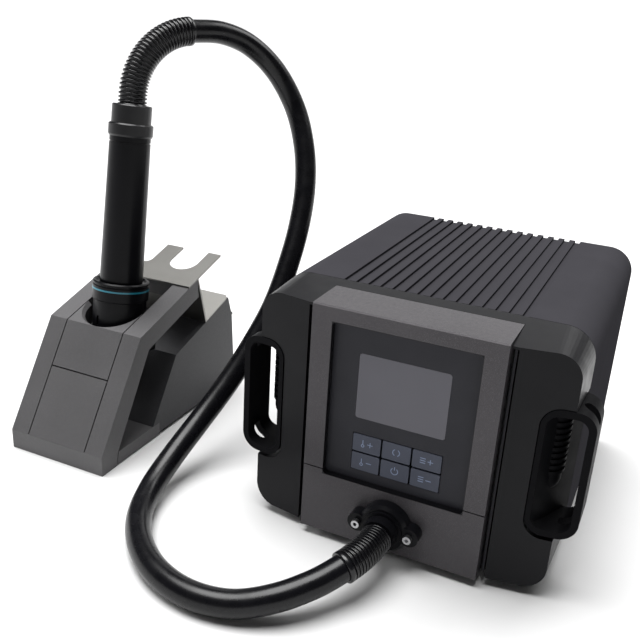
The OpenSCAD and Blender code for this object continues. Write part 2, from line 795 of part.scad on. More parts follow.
module flange_relief() color("#151516") at_origin()
    translate([0, -flange_len, outlet_z]) rotate([90, 0, 0]) rotate([0, 0, flange_bend_roll])
        relief(flange_bend_r, flange_bend, flange_relief_d / 2, 2.15);

function unit(v) = v / norm(v);
function tangent(p, i) =
    i == 0 ? unit(p[1] - p[0]) :
    i == len(p) - 1 ? unit(p[i] - p[i - 1]) :
    unit(unit(p[i + 1] - p[i]) + unit(p[i] - p[i - 1]));
function carry(side, t) = unit(side - (side * t) * t);
function sides_along(p, i = 0, side = [0, 0, 1]) =
    i == len(p) ? [] :
    let (s = carry(side, tangent(p, i))) concat([s], sides_along(p, i + 1, s));

module sweep(points, r, n) {
    sides = sides_along(points);
    last = len(points) - 1;
    verts = [
        for (i = [0 : last]) let (s = sides[i], u = cross(tangent(points, i), s))
            for (k = [0 : n - 1]) points[i] + r * (cos(360 * k / n) * s + sin(360 * k / n) * u)
    ];
    faces = concat(
        [[for (k = [0 : n - 1]) k]],
        [for (i = [0 : last - 1], k = [0 : n - 1])
            [i * n + k, (i + 1) * n + k, (i + 1) * n + (k + 1) % n, i * n + (k + 1) % n]],
        [[for (k = [n - 1 : -1 : 0]) last * n + k]]
    );
    polyhedron(verts, faces, convexity = 10);
}

module air_hose() color("#101011") at_origin() sweep(hose_points, hose_d / 2, hose_sides);

// Plan of the blower spiral with its outlet towards the front.
module spiral_plan(inset = 0) {
    polygon([
        for (a = [0 : 6 : 360])
            (spiral_start_r - inset + (spiral_end_r - spiral_start_r) * a / 360) * [-cos(a), -sin(a)]
    ]);
    translate([-spiral_end_r + inset, duct_end - blower_y + inset])
        square([2 * (duct_r - inset), blower_y - duct_end - inset]);
}

module blower_housing() color("#303438") at_origin() translate([blower_x, blower_y, 0]) difference() {
    translate([0, 0, chassis_top]) linear_extrude(2 * blower_half_h - blower_wall) spiral_plan();
    translate([0, 0, chassis_top + blower_wall]) linear_extrude(2 * blower_half_h) spiral_plan(blower_wall);
    translate([0, 0, chassis_top - 1]) cylinder(r = blower_eye_r, h = 5);
    translate([-blower_x, duct_end - blower_y - 1, outlet_z]) rotate([-90, 0, 0])
        cylinder(d = air_bore, h = blower_wall + 2);
}

module blower_lid() color("#303438") at_origin() translate([blower_x, blower_y, blower_top - blower_wall])
    difference() {
        linear_extrude(blower_wall) spiral_plan();
        translate([0, 0, -1]) cylinder(r = shaft_d / 2 + 1, h = 5);
    }

module impeller() color("#d6d2c4") at_origin() translate([blower_x, blower_y, impeller_z]) difference() {
    union() {
        translate([0, 0, impeller_h - 2]) cylinder(r = impeller_r, h = 2);
        difference() {
            cylinder(r = impeller_r, h = 1.5);
            translate([0, 0, -1]) cylinder(r = blower_eye_r, h = 4);
        }
        translate([0, 0, 3]) cylinder(r = hub_r, h = impeller_h - 3);
        for (i = [0 : blade_count - 1])
            rotate([0, 0, i * 360 / blade_count]) impeller_blade();
    }
    translate([0, 0, -1]) cylinder(r = shaft_d / 2 + 0.02, h = impeller_h + 2);
}

// One backward-curved blade, cut from a thin ring.
module impeller_blade() {
    bend = impeller_r * 0.75;
    intersection() {
        translate([0, 0, 1]) linear_extrude(impeller_h - 2) difference() {
            circle(impeller_r - 0.2);
            circle(blower_eye_r - 2);
        }
        translate([blower_eye_r - 2, -bend, 0]) linear_extrude(impeller_h) difference() {
            circle(bend);
            circle(bend - 1.4);
            translate([-2 * bend, -bend]) square([2 * bend, 2 * bend]);
        }
    }
}

module motor_shaft() color("#c8cacc") at_origin() translate([blower_x, blower_y, impeller_z + 3])
    cylinder(d = shaft_d, h = shaft_top - impeller_z - 3);

module blower_motor() color("#565a5e") at_origin() translate([blower_x, blower_y, blower_top]) difference() {
    union() {
        cylinder(r = motor_r, h = 6);
        translate([0, 0, 5]) cylinder(r = motor_r - 3, h = motor_h - 5);
        for (a = [0 : 30 : 359])
            rotate([0, 0, a]) translate([motor_r - 4, -1, 6 - eps]) cube([3, 2, motor_h - 12]);
    }
    translate([0, 0, -1]) cylinder(r = shaft_d / 2 + running, h = motor_h - 1.5);
}

module air_duct() color("#3a3a3c") at_origin() translate([0, duct_end, outlet_z]) rotate([90, 0, 0])
    difference() {
        cylinder(r = duct_r, h = duct_end - panel_t);
        translate([0, 0, -1]) cylinder(d = air_bore, h = duct_end);
    }

module power_board() color("#2a6b3f") at_origin() translate([board_x, board_mid_y, board_z]) {
    difference() {
        box(-board_w / 2, board_w / 2, -board_l / 2, board_l / 2, 0, board_t);
        for (x = [-1, 1], y = [-1, 1])
            translate([x * (board_w / 2 - 5), y * (board_l / 2 - 6), -1]) cylinder(r = 1.6, h = 5, $fn = 24);
    }
    translate([0, -board_l / 2, board_t - eps])
        for (y = [63.5, 85.5]) translate([18, y, 0]) cylinder(r = 9, h = 30);
    translate([0, board_l / 2, board_t - eps]) {
        box(-26, -10, -25.5, -13.5, 0, 12);
        box(-2, 22, -21.5, -9.5, 0, 15);
    }
}

module on_board() at_origin() translate([board_x, board_mid_y - board_l / 2, board_z + board_t]) children();

module transformer() color("#c9a23a") on_board() translate([0, 29.5, 0]) {
    box(-22, 22, -15, 15, 0, 34);
    box(-16, 16, -21, 21, 4, 30);
}

module heat_sink() color("#b9bcc0") on_board() translate([-27, 0, 0]) {
    box(0, 27, 59.5, board_l - 39.5, 0, 4);
    for (i = [0 : 5]) translate([i * 5, 0, 0]) box(0, 2, 59.5, board_l - 39.5, 4 - eps, 38);
}

module mains_inlet() color("#19191a") at_origin() translate([inlet_x, 0, inlet_z]) difference() {
    union() {
        box(-inlet_w / 2, inlet_w / 2, rear_y - 28, rear_y + 1, -inlet_h / 2, inlet_h / 2);
        pull(rear_y, rear_y + 3) rounded_rect(50, inlet_h + 4, 4);
    }
    difference() {
        pull(rear_y - 14, rear_y + 4) translate([0, socket_z]) square([25, 17], center = true);
        for (p = [[-7, -2], [7, -2], [0, 2.5]])
            translate([p[0], 0, socket_z + p[1]]) box(-1, 1, rear_y - 15, rear_y + 1, -2, 2);
    }
    box(-drawer_w / 2 - fit, drawer_w / 2 + fit, rear_y - drawer_l + 1.5, rear_y + 4,
        drawer_z - drawer_h / 2 - fit, drawer_z + drawer_h / 2 + fit);
    for (x = [-1, 1])
        translate([x * 20, rear_y + 4, 0]) rotate([90, 0, 0]) cylinder(r = 1.6, h = 6, $fn = 24);
}

module fuse_drawer() color("#202022") at_origin() translate([inlet_x, rear_y + 2.8, inlet_z + drawer_z]) {
    difference() {
        box(-drawer_w / 2, drawer_w / 2, -drawer_l, 0, -drawer_h / 2, drawer_h / 2);
        box(-drawer_w / 2 + 2, drawer_w / 2 - 2, -drawer_l + 2, -3, -drawer_h / 2 + 1.6, drawer_h / 2 + 1);
    }
    box(-3, 3, -eps, 1, -drawer_h / 2, -drawer_h / 2 + 1.6);
}

module power_switch() color("#17171a") at_origin() translate([switch_x, 0, switch_z]) difference() {
    union() {
        box(-switch_w / 2 + 1.3, switch_w / 2 - 1.3, rear_y - 15, rear_y + 1,
            -switch_h / 2 + 0.9, switch_h / 2 - 0.9);
        pull(rear_y, rear_y + 2) rounded_rect(switch_w + 2, switch_h + 2, 1);
    }
    box(-rocker_half_w - 0.2, rocker_half_w + 0.2, rocker_y - 3.7, rear_y + 3, -8.7, 8.7);
    translate([0, rocker_y, 0]) rotate([0, 90, 0]) cylinder(r = 1.25, h = 14, center = true, $fn = 32);
}

module power_rocker() color("#2a2a2e") at_origin()
    translate([switch_x, rocker_y, switch_z]) rotate([rocker_rest, 0, 0]) {
        rotate([90, 0, 90]) linear_extrude(2 * rocker_half_w, center = true)
            polygon([[-2, -6], [5.5, -7.6], [3.6, 0], [5.5, 7.6], [-2, 6]]);
        rotate([0, 90, 0]) cylinder(r = 1.2, h = 13.4, center = true, $fn = 32);
    }

module ground_jack() color("#c7a94a") at_origin() translate([jack_x, rear_y, jack_z]) rotate([-90, 0, 0])
    difference() {
        union() {
            cylinder(r = 6.5, h = 3, $fn = 48);
            translate([0, 0, -12]) cylinder(r = 4, h = 12 + eps);
        }
        translate([0, 0, -10]) cylinder(r = jack_bore_r, h = 14, $fn = 48);
    }

module at_gun() at_origin() translate([-holder_x, gun_y, gun_z]) rotate([-gun_tilt, 0, 0]) children();

module gun_tube() color("#1b1b1d") at_gun() difference() {
    translate([0, 0, collar_top]) cylinder(d1 = tube_bottom_d, d2 = tube_top_d, h = tube_len, $fn = 96);
    translate([0, 0, collar_top - 1]) cylinder(r = core_r + 1.7, h = tube_len - 3);
    translate([0, 0, collar_top]) cylinder(d = gun_bore, h = tube_len + 1);
    translate([0, 0, tube_end - 4.4]) difference() {
        cylinder(d = tube_bottom_d + 4, h = 0.9);
        translate([0, 0, -1]) cylinder(d = tube_top_d - 1.4, h = 3);
    }
}

module gun_lower_collar() color("#202022") at_gun() rotate_extrude($fn = 96) polygon([
    [core_r + 1.7, collar_bottom], [collar_d / 2 - 0.8, collar_bottom], [collar_d / 2, collar_bottom + 0.8],
    [collar_d / 2, 3.4], [collar_d / 2 - 1.6, 3.4], [collar_d / 2 - 1.6, 4.7], [collar_d / 2, 4.7],
    [collar_d / 2, 6.6], [collar_d / 2 - 1, 7], [collar_d / 2 - 1, 7.8], [collar_d / 2, 8.2],
    [collar_d / 2, collar_top - 0.9], [collar_d / 2 - 0.9, collar_top],
    [tube_bottom_d / 2 + 3, collar_top], [tube_bottom_d / 2 + 2, collar_top - 1.4],
    [tube_bottom_d / 2 - 0.3, collar_top - 1.4], [tube_bottom_d / 2 - 0.3, collar_top],
    [core_r + 1.7, collar_top]
]);

module gun_ring() color("#2f8f96") at_gun() translate([0, 0, 3.4]) difference() {
    cylinder(d = collar_d + 0.3, h = 1.3, $fn = 96);
    translate([0, 0, -1]) cylinder(d = collar_d - 3.2, h = 4, $fn = 96);
}

module gun_barrel() color("#1d1d1f") at_gun() difference() {
    union() {
        translate([0, 0, barrel_end + 2]) cylinder(d = barrel_d, h = barrel_len - 2, $fn = 96);
        translate([0, 0, barrel_end]) cylinder(d1 = barrel_d - 4, d2 = barrel_d, h = 2 + eps, $fn = 96);
    }
    translate([0, 0, barrel_end + 2.5]) cylinder(d = barrel_d - 5, h = barrel_len, $fn = 96);
    translate([0, 0, barrel_end - 1]) cylinder(r = nozzle_neck_r + 0.1, h = 5);
    for (a = [0, 120, 240]) rotate([0, 0, a - 67 - 38]) {
        translate([barrel_d / 2 - 4, -1.1, collar_bottom - 20]) cube([6, 2.2, 8]);
    }
}

module nozzle() color("#b4b6b8") at_gun() difference() {
    union() {
        translate([0, 0, barrel_end + 2.5]) cylinder(r = core_r + 4, h = 1.5);
        translate([0, 0, barrel_end - 14]) cylinder(r = nozzle_neck_r, h = 16.5 + eps);
        translate([0, 0, barrel_end - nozzle_len + 8])
            cylinder(d1 = nozzle_d, r2 = nozzle_neck_r, h = nozzle_len - 22 + eps);
        translate([0, 0, barrel_end - nozzle_len]) cylinder(d = nozzle_d, h = 8 + eps);
    }
    translate([0, 0, barrel_end - 14]) cylinder(r = nozzle_neck_r - 1.2, h = 30);
    translate([0, 0, barrel_end - nozzle_len + 8])
        cylinder(d1 = nozzle_d - 2.4, r2 = nozzle_neck_r - 1.2, h = nozzle_len - 22 + 2 * eps);
    translate([0, 0, barrel_end - nozzle_len - 1]) cylinder(d = nozzle_d - 2.4, h = 9.1);
}

module heater_sleeve() color("#d9d5c8") at_gun() translate([0, 0, barrel_end + 4]) difference() {
    cylinder(r = core_r + 1.3, h = heater_len);
    translate([0, 0, -1]) cylinder(r = core_r + 0.1, h = heater_len + 2);
}

module heater_core() color("#e8e4d8") at_gun() translate([0, 0, barrel_end + 4]) difference() {
    cylinder(r = core_r, h = heater_len - 6);
    for (ring = [[0, 1], [4.2, 6], [8.6, 12]], i = [0 : ring[1] - 1])
        translate([ring[0] * cos(i * 360 / ring[1]), ring[0] * sin(i * 360 / ring[1]), -1])
            cylinder(r = 1.3, h = heater_len, $fn = 16);
}

module gun_top_collar() color("#1d1d1f") at_gun() translate([0, 0, tube_end])
    rotate_extrude($fn = 96) polygon([
        [gun_bore / 2, 0], [tube_top_d / 2 + 0.4, 0], [tube_top_d / 2 + 1.3, 1.5],
        [tube_top_d / 2 + 1.3, top_collar_l - 1], [tube_top_d / 2 + 0.3, top_collar_l],
        [gun_bore / 2, top_collar_l]
    ]);

module gun_cap() color("#1a1a1c") at_gun() translate([0, 0, tube_end + top_collar_l])
    rotate_extrude($fn = 96) polygon([
        [gun_bore / 2, 0], [gun_cap_r, 0], [gun_cap_r, gun_cap_l - 0.8], [gun_cap_r - 0.8, gun_cap_l],
        [gun_relief_d / 2 + 1.4, gun_cap_l], [gun_relief_d / 2 + 0.9, gun_cap_l - cap_recess],
        [gun_bore / 2, gun_cap_l - cap_recess]
    ]);

module gun_relief() color("#131314") at_gun() translate([0, 0, relief_base]) {
    translate([0, 0, -cap_recess]) cylinder(d = gun_relief_d, h = cap_recess + 0.5);
    cylinder(d = gun_relief_d - 2.6, h = gun_bend_start, $fn = 48);
    for (z = [1.4, 4.2])
        translate([0, 0, z]) cylinder(d = gun_relief_d, h = 1.7, $fn = 48);
    rotate([0, 0, gun_bend_roll]) translate([0, 0, gun_bend_start])
        relief(gun_bend_r, gun_bend, gun_relief_d / 2, 3.5, -0.8);
}

// Side profile of the holder's front band, drawn in y and z.
module band_profile(front_z = 0) {
    inner_front = band_front + band_t + 3.3;
    polygon([
        [band_front, front_z],
        [band_front, lip_h],
        band_crease,
        band_rear,
        band_rear + band_t * [sin(roof_angle) * 0.35, -cos(roof_angle)],
        band_inner_crease(),
        [inner_front, base_t],
        [inner_front - 2.1, front_z]
    ]);
}

function band_inner_crease() =
    band_crease + band_t / cos((front_angle - roof_angle) / 2)
        * [sin((front_angle + roof_angle) / 2), -cos((front_angle + roof_angle) / 2)];

// A figure drawn in y and z, made w wide about the middle plane of the holder.
module across(w) {
    at_origin() translate([-holder_x, 0, 0]) rotate([90, 0, 90]) linear_extrude(w, center = true) children();
}

module at_holder() at_origin() translate([-holder_x, 0, 0]) children();

opening_w = holder_w - 2 * band_t;

module holder_frame() color("#77787b") {
    difference() {
        across(holder_w) band_profile();
        at_holder() box(-opening_w / 2, opening_w / 2, band_front - 1, trough_end_y, lip_h,
                        band_rear[1] + 10);
    }
}

// Middle of the front band, between the cheeks and above the lip.
module band_middle() intersection() {
    across(opening_w - 2 * seam_w) band_profile();
    at_holder() box(-50, 50, -100, 200, lip_h + face_gap, 200);
}

// A frame whose z runs up the sloping front, with y as the depth from its face.
module on_slope() at_holder() translate([0, band_front, lip_h]) rotate([front_angle - 90, 0, 0]) children();

module holder_front_panel() color("#7b7c7f") intersection() {
    band_middle();
    on_slope() {
        box(-50, 50, -1, rebate_depth, -20, front_split());
        box(-50, 50, rebate_depth - eps, 60, -60, front_split() + rebate_h);
    }
}

function front_split() = (panel_split_z - lip_h) / sin(front_angle);

module holder_top_panel() color("#7b7c7f") difference() {
    intersection() {
        band_middle();
        on_slope() {
            box(-50, 50, -200, rebate_depth - face_gap, front_split() + seam_w, 300);
            box(-50, 50, -200, 200, front_split() + rebate_h + face_gap, 300);
        }
        at_holder() box(-50, 50, -100, horn_y, -1, 200);
    }
    at_holder() translate([0, horn_y, 0]) {
        translate([0, 0, -1]) cylinder(d = notch_d, h = 200);
        translate([0, 0, notch_rim_z()]) rotate([roof_angle, 0, 0]) translate([0, 0, -3])
            cylinder(d1 = notch_d, d2 = notch_d + 6, h = 3.1);
    }
}

function notch_rim_z() = band_crease[1] + (horn_y - band_crease[0]) * tan(roof_angle);

module holder_base() color("#77787b") across(holder_w) polygon([
    [band_front + band_t + 2.1, pad_t], [block_front[0] + 9, pad_t],
    [block_front[0] + 9, block_lift], [block_front[0] + 9, base_t],
    [band_front + band_t + 4.2, base_t]
]);

module holder_block() color("#707175") difference() {
    across(holder_w) polygon([
        [block_front[0] + 9.3, block_lift], [block_front[0] + 9.3, base_t + face_gap],
        [block_front[0], base_t + face_gap],
        block_shoulder, block_step, block_rear,
        [block_lip_y, block_lip_z], [177, 28.2], [178, block_lift]
    ]);
    at_holder() for (x = [-1, 1])
        translate([x * 30, 150, block_lift - 1]) cylinder(r = 5, h = 3);
}

module holder_bracket() color("#d3d3d0") {
    roof = [cos(roof_angle), sin(roof_angle)];
    up = [-sin(roof_angle), cos(roof_angle)];
    difference() {
        bracket_sheet(roof, up);
        at_holder() mirror_pair()
            translate([holder_w / 2 - shelf_corner_r, block_rear[0] - shelf_corner_r + bracket_t, 0])
                linear_extrude(200) difference() {
                    square(2 * shelf_corner_r);
                    circle(shelf_corner_r);
                }
    }
    at_holder() translate([0, band_rear[0], band_rear[1]]) rotate([roof_angle, 0, 0]) fork_plate();
}

// The bent sheet from the roof's rear edge down to the shelf and its lip.
module bracket_sheet(roof, up)
    across(holder_w) polygon([
        band_rear + face_gap * roof,
        band_rear + bracket_t / 2 * up,
        band_rear + (face_gap + bracket_t) * roof + bracket_t * up,
        block_step + [bracket_t, bracket_t],
        block_rear + [face_gap + bracket_t / 2, face_gap + bracket_t],
        [block_lip_y + face_gap + bracket_t, block_lip_z],
        [block_lip_y + face_gap, block_lip_z],
        block_rear + [face_gap, face_gap],
        block_step + [0, face_gap]
    ]);

// The fork, flat in x and y, with its front edge at the rear edge of the holder's roof.
module fork_plate() {
    right = holder_w / 2;
    slot_x = right - fork_right_w - fork_slot_w / 2;
    left = slot_x - fork_slot_w / 2 - fork_left_w;
    slot_y = fork_slot_w / 2 + 7;
    difference() {
        linear_extrude(bracket_t) difference() {
            union() {
                translate([-holder_w / 2, -strip_depth]) square([holder_w, strip_depth + 8]);
                translate([left, 0]) square([right - left, fork_len]);
                translate([left - 6, 8]) square([6 + eps, 6]);
            }
            translate([slot_x, slot_y]) circle(fork_slot_w / 2);
            translate([slot_x - fork_slot_w / 2, slot_y]) square([fork_slot_w, fork_len]);
            translate([left - 6, 14]) circle(6);
        }
    }
}

// The ledge that carries the barrel, with wings to the cheeks.
module holder_cup() color("#2b2b2d") difference() {
    union() {
        at_gun() translate([0, 0, barrel_end - cup_floor - 0.1])
            cylinder(d = barrel_d + 2 * cup_wall, h = cup_lip);
        at_gun() translate([0, 0, barrel_end - cup_floor - 0.1])
            box(-opening_w / 2 + face_gap, opening_w / 2 - face_gap, -14, 14, 0, cup_lip - 3);
        at_gun() mirror_pair() translate([0, 0, barrel_end - cup_floor - 0.1])
            box(opening_w / 2 - 2.1, opening_w / 2 - face_gap, -2, 14, 0, 30);
    }
    at_gun() translate([0, 0, barrel_end - 0.1]) cylinder(d = barrel_d + 0.8, h = cup_lip + 1);
    at_gun() translate([0, 0, barrel_end - 10]) cylinder(r = nozzle_neck_r + 2, h = 12);
}

module holder_pads() color("#2a2a2a") at_holder()
    for (x = [-1, 1]) {
        box(x * 32 - 8, x * 32 + 8, 8, 24, 0, pad_t);
        box(x * 32 - 8, x * 32 + 8, 40, 56, 0, pad_t);
        translate([x * 30, 150, 0]) cylinder(r = 4.7, h = block_lift + 2);
    }

top_cover();
base_chassis();
rear_panel();
front_bezel();
display_frame();
lower_panel();
trim_left();
trim_right();
key_panel();
display_window();
display_module();
control_board();
key_temp_up();
key_temp_down();
key_channel();
key_power();
key_flow_up();
key_flow_down();
handle_left();
handle_right();
handle_screws();
feet();
cover_screws();
rear_screws();
hose_flange();
flange_screws();
flange_relief();
air_hose();
blower_housing();
blower_lid();
impeller();
motor_shaft();
blower_motor();
air_duct();
power_board();
transformer();
heat_sink();
mains_inlet();
fuse_drawer();
power_switch();
power_rocker();
ground_jack();
gun_tube();
gun_lower_collar();
gun_ring();
gun_barrel();
nozzle();
heater_sleeve();
heater_core();
gun_top_collar();
gun_cap();
gun_relief();
holder_frame();
holder_front_panel();
holder_top_panel();
holder_base();
holder_block();
holder_bracket();
holder_cup();
holder_pads();
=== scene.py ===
"""Looks of the hot air rework station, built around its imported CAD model. Lengths are in metres."""

from math import cos, pi, radians, sin

import bmesh
import bpy
from mathutils import Matrix, Vector


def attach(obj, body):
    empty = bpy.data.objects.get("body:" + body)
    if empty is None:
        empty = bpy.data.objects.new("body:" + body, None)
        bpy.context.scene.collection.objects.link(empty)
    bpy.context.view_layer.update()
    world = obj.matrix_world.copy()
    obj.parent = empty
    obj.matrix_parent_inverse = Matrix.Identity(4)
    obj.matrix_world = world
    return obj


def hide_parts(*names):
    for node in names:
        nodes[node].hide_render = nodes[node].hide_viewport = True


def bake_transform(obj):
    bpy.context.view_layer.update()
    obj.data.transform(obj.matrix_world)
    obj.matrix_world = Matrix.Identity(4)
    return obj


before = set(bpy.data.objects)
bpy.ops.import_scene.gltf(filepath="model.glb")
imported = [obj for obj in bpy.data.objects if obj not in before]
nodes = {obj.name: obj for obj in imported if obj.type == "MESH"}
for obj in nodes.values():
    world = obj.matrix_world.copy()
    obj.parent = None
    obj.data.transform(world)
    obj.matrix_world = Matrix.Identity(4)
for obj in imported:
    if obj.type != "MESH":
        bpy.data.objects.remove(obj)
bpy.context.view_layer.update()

# The cabinet's own coordinates, as in part.scad: x = 0 in its middle, y = 0 at its front panels.
SHIFT = Vector((0.096, -0.113, 0))

# The keys, each with its column and row counted from the middle of the six.
KEY_PLACES = {
    "temp_up": (-1, 0.5),
    "temp_down": (-1, -0.5),
    "channel": (0, 0.5),
    "power": (0, -0.5),
    "flow_up": (1, 0.5),
    "flow_down": (1, -0.5),
}
KEY_NODES = ["key_" + name for name in KEY_PLACES]

HOSE_RADIUS = 0.00875
# How far the hose reaches into each relief, so that no gap shows between them.
HOSE_TUCK = 0.0008

# Middle line of the hose, from the relief of the flange to the relief of the handpiece.
HOSE_POINTS = [
    (-0.00913, -0.05223, 0.02393),
    (-0.01191, -0.05705, 0.02269),
    (-0.0195, -0.0685, 0.020),
    (-0.0365, -0.0860, 0.0155),
    (-0.0590, -0.0975, 0.0105),
    (-0.0860, -0.1010, 0.009),
    (-0.1140, -0.0940, 0.009),
    (-0.1390, -0.0770, 0.009),
    (-0.1590, -0.0520, 0.009),
    (-0.1700, -0.0230, 0.012),
    (-0.1730, 0.0080, 0.021),
    (-0.1700, 0.0380, 0.036),
    (-0.1630, 0.0660, 0.057),
    (-0.1560, 0.0920, 0.082),
    (-0.1500, 0.1170, 0.111),
    (-0.1490, 0.1390, 0.140),
    (-0.1510, 0.1600, 0.168),
    (-0.1560, 0.1780, 0.197),
    (-0.1660, 0.1930, 0.226),
    (-0.1810, 0.2025, 0.2555),
    (-0.1990, 0.1980, 0.2845),
    (-0.2155, 0.1830, 0.3035),
    (-0.2290, 0.1630, 0.312),
    (-0.23993, 0.14416, 0.31291),
    (-0.24269, 0.13919, 0.3127),
]


def at(x, y, z):
    """A point given in the cabinet's coordinates, in the row frame."""
    return Vector((x, y, z)) + SHIFT


# Camera


def add_camera():
    """The photograph's camera, solved from the cabinet's edges."""
    yaw, pitch, roll = radians(23.88), radians(21.76), radians(3.44)
    level_right = Vector((cos(yaw), sin(yaw), 0))
    level_front = Vector((-sin(yaw), cos(yaw), 0))
    world_up = Vector((0, 0, 1))
    front = cos(pitch) * level_front - sin(pitch) * world_up
    lifted = cos(pitch) * world_up + sin(pitch) * level_front
    right = cos(roll) * level_right + sin(roll) * lifted
    up = -sin(roll) * level_right + cos(roll) * lifted
    data = bpy.data.cameras.new("camera")
    data.lens = 47.24
    data.sensor_width = 36
    data.clip_start = 0.02
    data.clip_end = 20
    camera = bpy.data.objects.new("camera", data)
    bpy.context.collection.objects.link(camera)
    matrix = camera.matrix_world.copy()
    for column, axis in enumerate((right, up, -front)):
        for row in range(3):
            matrix[row][column] = axis[row]
    matrix.translation = at(0.1399, -0.4435, 0.3523)
    camera.matrix_world = matrix
    bpy.context.scene.camera = camera


# Mesh helpers


def skin(bm, rings):
    """Faces between rings that have as many corners as one another."""
    sides = len(rings[0])
    for ring, following in zip(rings, rings[1:]):
        for k in range(sides):
            j = (k + 1) % sides
            bm.faces.new((ring[k], ring[j], following[j], following[k]))


def finish_mesh(name, bm, material, smooth=True):
    bmesh.ops.recalc_face_normals(bm, faces=bm.faces)
    mesh = bpy.data.meshes.new(name)
    bm.to_mesh(mesh)
    bm.free()
    for polygon in mesh.polygons:
        polygon.use_smooth = smooth
    obj = bpy.data.objects.new(name, mesh)
    bpy.context.collection.objects.link(obj)
    mesh.materials.append(material)
    return obj


def spline(points, steps):
    """A smooth line through the points, by the centripetal Catmull-Rom rule."""
    run = [2 * points[0] - points[1]] + points + [2 * points[-1] - points[-2]]
    line = []
    for a, b, c, d in zip(run, run[1:], run[2:], run[3:]):
        t1 = (b - a).length ** 0.5
        t2 = t1 + (c - b).length ** 0.5
        t3 = t2 + (d - c).length ** 0.5
        for k in range(steps):
            t = t1 + (t2 - t1) * k / steps
            ab = a.lerp(b, t / t1)
            bc = b.lerp(c, (t - t1) / (t2 - t1))
            cd = c.lerp(d, (t - t2) / (t3 - t2))
            left = ab.lerp(bc, t / t2)
            right = bc.lerp(cd, (t - t1) / (t3 - t1))
            line.append(left.lerp(right, (t - t1) / (t2 - t1)))
    line.append(points[-1].copy())
    return line


def tube(name, line, radii, sides, material):
    """A closed tube along a line, one radius per point, its rings carried along without twist."""
    bm = bmesh.new()
    side = Vector((0, 0, 1))
    rings = []
    for i, (point, radius) in enumerate(zip(line, radii)):
        ahead = line[min(i + 1, len(line) - 1)] - line[max(i - 1, 0)]
        ahead.normalize()
        side = (side - side.dot(ahead) * ahead).normalized()
        across = ahead.cross(side)
        rings.append(
            [
                bm.verts.new(
                    point
                    + radius
                    * (cos(2 * pi * k / sides) * side + sin(2 * pi * k / sides) * across)
                )
                for k in range(sides)
            ]
        )
    skin(bm, rings)
    bm.faces.new(rings[0])
    bm.faces.new(rings[-1])
    return finish_mesh(name, bm, material)


# Materials

# Noise scales, in periods per metre.
CLOUD_SCALE = 38
WEAR_SCALE = 90
FLAKE_SCALE = 5200
PAINT_CLOUD_SCALE = 22
PAINT_WEAR_SCALE = 400
PAINT_GRAIN_SCALE = 3200

# The noise levels between which a flake fades in.
FLAKE_LEVELS = (0.62, 0.74)
GRAIN_STRENGTH = 0.6
PAINT_GRAIN_STRENGTH = 0.35
PAINT_GRAIN_DEPTH = 0.00005
# Painted shade: near black for the walls of a cut, standing for the shadow in the gap around the
# keys.
GAP_SHADE_BLACK = (0.004, 0.004, 0.005)

# The colour sockets of a mix node.
MIX_FIRST, MIX_SECOND, MIX_RESULT = 6, 7, 2


class Nodes:
    """Short calls for building one procedural material."""

    def __init__(self, name):
        self.material = bpy.data.materials.new(name)
        self.material.use_nodes = True
        self.tree = self.material.node_tree
        self.shader = self.tree.nodes["Principled BSDF"]
        self.place = self.add("ShaderNodeTexCoord").outputs["Object"]

    def add(self, kind, **values):
        node = self.tree.nodes.new(kind)
        for key, value in values.items():
            if key in node.inputs:
                node.inputs[key].default_value = value
            else:
                setattr(node, key, value)
        return node

    def link(self, output, target):
        self.tree.links.new(output, target)

    def noise(self, scale, detail=3.0, stretch=None):
        node = self.add("ShaderNodeTexNoise", Scale=scale, Detail=detail)
        source = self.place
        if stretch:
            mapping = self.add("ShaderNodeMapping")
            mapping.inputs["Scale"].default_value = stretch
            self.link(source, mapping.inputs["Vector"])
            source = mapping.outputs["Vector"]
        self.link(source, node.inputs["Vector"])
        return node.outputs["Fac"]

    def ramp(self, value, low, high, places=(0.3, 0.7)):
        """Maps a noise value to the range from low to high, numbers or colours."""
        node = self.add("ShaderNodeValToRGB")
        for element, level, place in zip(node.color_ramp.elements, (low, high), places):
            element.position = place
            element.color = level if isinstance(level, tuple) else (level, level, level, 1)
        self.link(value, node.inputs["Fac"])
        return node.outputs["Color"]

    def mix(self, factor, first, second):
        """Mixes the colour of a link with a plain one."""
        node = self.add("ShaderNodeMix", data_type="RGBA")
        self.link(factor, node.inputs["Factor"])
        self.link(first, node.inputs[MIX_FIRST])
        node.inputs[MIX_SECOND].default_value = second
        return node.outputs[MIX_RESULT]

    def within(self, value, middle, reach):
        """One where the value is no further than reach from the middle, else zero."""
        node = self.add("ShaderNodeMath", operation="COMPARE")
        self.link(value, node.inputs[0])
        node.inputs[1].default_value = middle
        node.inputs[2].default_value = reach
        return node.outputs[0]

    def product(self, first, second):
        node = self.add("ShaderNodeMath", operation="MULTIPLY")
        self.link(first, node.inputs[0])
        self.link(second, node.inputs[1])
        return node.outputs[0]

    def bump(self, height, strength, distance):
        node = self.add("ShaderNodeBump", Strength=strength, Distance=distance)
        self.link(height, node.inputs["Height"])
        self.link(node.outputs["Normal"], self.shader.inputs["Normal"])


def shade(color, factor):
    return tuple(min(1, c * factor) for c in color) + (1,)


